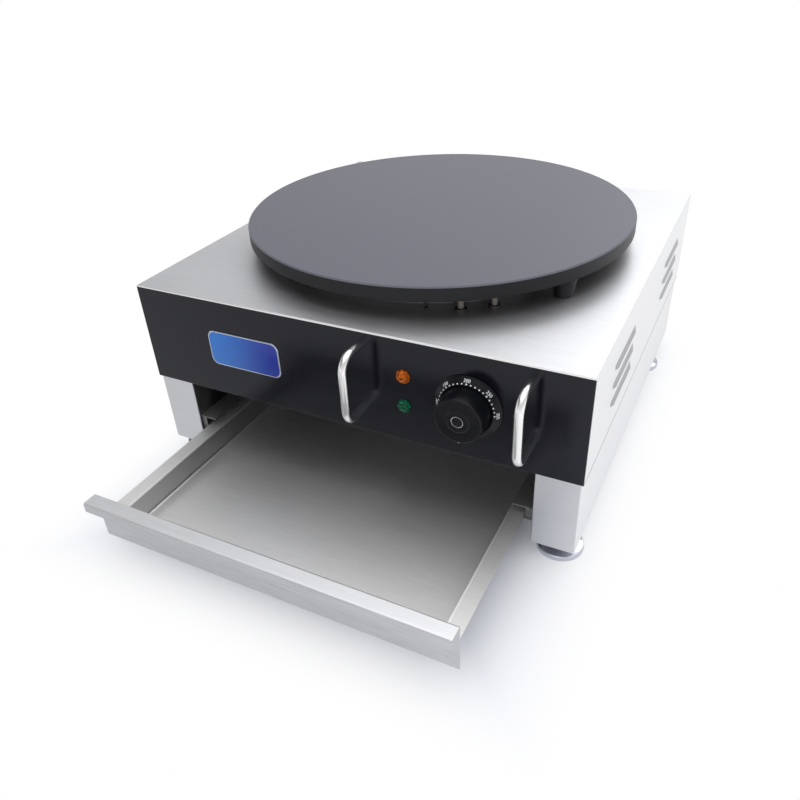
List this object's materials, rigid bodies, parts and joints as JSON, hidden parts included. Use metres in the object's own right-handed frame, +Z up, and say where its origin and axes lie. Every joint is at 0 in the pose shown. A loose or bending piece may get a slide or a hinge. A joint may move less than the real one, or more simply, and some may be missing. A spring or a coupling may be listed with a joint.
{
  "type": "electric crepe maker",
  "caption": "Countertop crepe griddle: a round cast plate on a sheet steel housing with a thermostat dial, bar handles, a pull-out drip drawer and levelling feet.",
  "frame": {"origin": "on the table, under the griddle plate's axis", "axes": "+Z up along the plate's axis, -Y towards the controls and the open drawer, +X to the right as seen from the front"},
  "size_m": [0.4552, 0.627, 0.232],
  "materials": {
    "stainless": "fine brushed",
    "chassis_steel": "fine brushed",
    "tray_steel": "satin",
    "drawer_front_steel": "fine brushed",
    "inner_steel": "plain",
    "runner_steel": "zinc plated",
    "fastener_steel": "zinc plated",
    "black_panel": "satin black",
    "cast_plate": "satin coated cooking face",
    "element_tube": "oxidised",
    "insulation": "pressed fibre board",
    "chrome_bar": "polished",
    "badge": "gloss blue with a pale rim, no lettering",
    "dial": "black with pale marks",
    "knob_black": "gloss black",
    "knob_cap": "plain",
    "pointer": "white",
    "amber_lens": "faceted, translucent",
    "green_lens": "faceted, translucent",
    "lamp_body": "moulded",
    "control_body": "moulded",
    "terminal": "moulded",
    "brass": "plain",
    "sensor_copper": "drawn copper",
    "wire": "silicone sleeve",
    "gland": "black nylon",
    "foot_pad": "polished"
  },
  "bodies": {
    "housing": {"top_cover": "stainless", "front_panel": "black_panel", "left_side_panel": "chassis_steel", "right_side_panel": "chassis_steel", "rear_panel": "chassis_steel", "compartment_floor": "inner_steel", "left_runner": "runner_steel", "right_runner": "runner_steel", "runner_screws": "fastener_steel", "griddle_plate": "cast_plate", "plate_screws": "fastener_steel", "heating_element": "element_tube", "element_ferrules": "brass", "element_clamp": "inner_steel", "clamp_studs": "fastener_steel", "clamp_nuts": "fastener_steel", "heat_shield": "inner_steel", "insulation_disc": "insulation", "left_handle": "chrome_bar", "right_handle": "chrome_bar", "handle_screws": "fastener_steel", "badge_plate": "badge", "amber_lamp_lens": "amber_lens", "green_lamp_lens": "green_lens", "lamp_bodies": "lamp_body", "dial_bezel": "dial", "thermostat": "control_body", "thermostat_screws": "fastener_steel", "capillary_sensor": "sensor_copper", "safety_cutout": "control_body", "terminal_block": "terminal", "earth_stud": "brass", "wiring_loom": "wire", "cable_gland": "gland", "gland_nut": "gland", "cover_screws": "fastener_steel", "foot_weld_nuts": "fastener_steel", "foot_lock_nuts": "fastener_steel"},
    "knob": {"knob": "knob_black", "knob_cap": "knob_cap", "knob_pointer": "pointer", "thermostat_shaft": "brass"},
    "drawer": {"drawer_tray": "tray_steel", "drawer_front": "drawer_front_steel"},
    "front_left_foot": {"front_left_foot_pad": "foot_pad", "front_left_foot_stud": "fastener_steel"},
    "front_right_foot": {"front_right_foot_pad": "foot_pad", "front_right_foot_stud": "fastener_steel"},
    "rear_left_foot": {"rear_left_foot_pad": "foot_pad", "rear_left_foot_stud": "fastener_steel"},
    "rear_right_foot": {"rear_right_foot_pad": "foot_pad", "rear_right_foot_stud": "fastener_steel"}
  },
  "joints": [
    {"name": "drawer_slide", "type": "slide", "parent": "housing", "child": "drawer", "axis": [0, -1, 0], "range_m": [-0.15, 0.1]},
    {"name": "knob_turn", "type": "hinge", "parent": "housing", "child": "knob", "pos_m": [0.1241, -0.2225, 0.149], "axis": [0, 1, 0], "range_deg": [0, 270]},
    {"name": "front_left_foot_screw", "type": "slide", "parent": "housing", "child": "front_left_foot", "axis": [0, 0, -1], "range_m": [0, 0.01]},
    {"name": "front_right_foot_screw", "type": "slide", "parent": "housing", "child": "front_right_foot", "axis": [0, 0, -1], "range_m": [0, 0.01]},
    {"name": "rear_left_foot_screw", "type": "slide", "parent": "housing", "child": "rear_left_foot", "axis": [0, 0, -1], "range_m": [0, 0.01]},
    {"name": "rear_right_foot_screw", "type": "slide", "parent": "housing", "child": "rear_right_foot", "axis": [0, 0, -1], "range_m": [0, 0.01]}
  ]
}
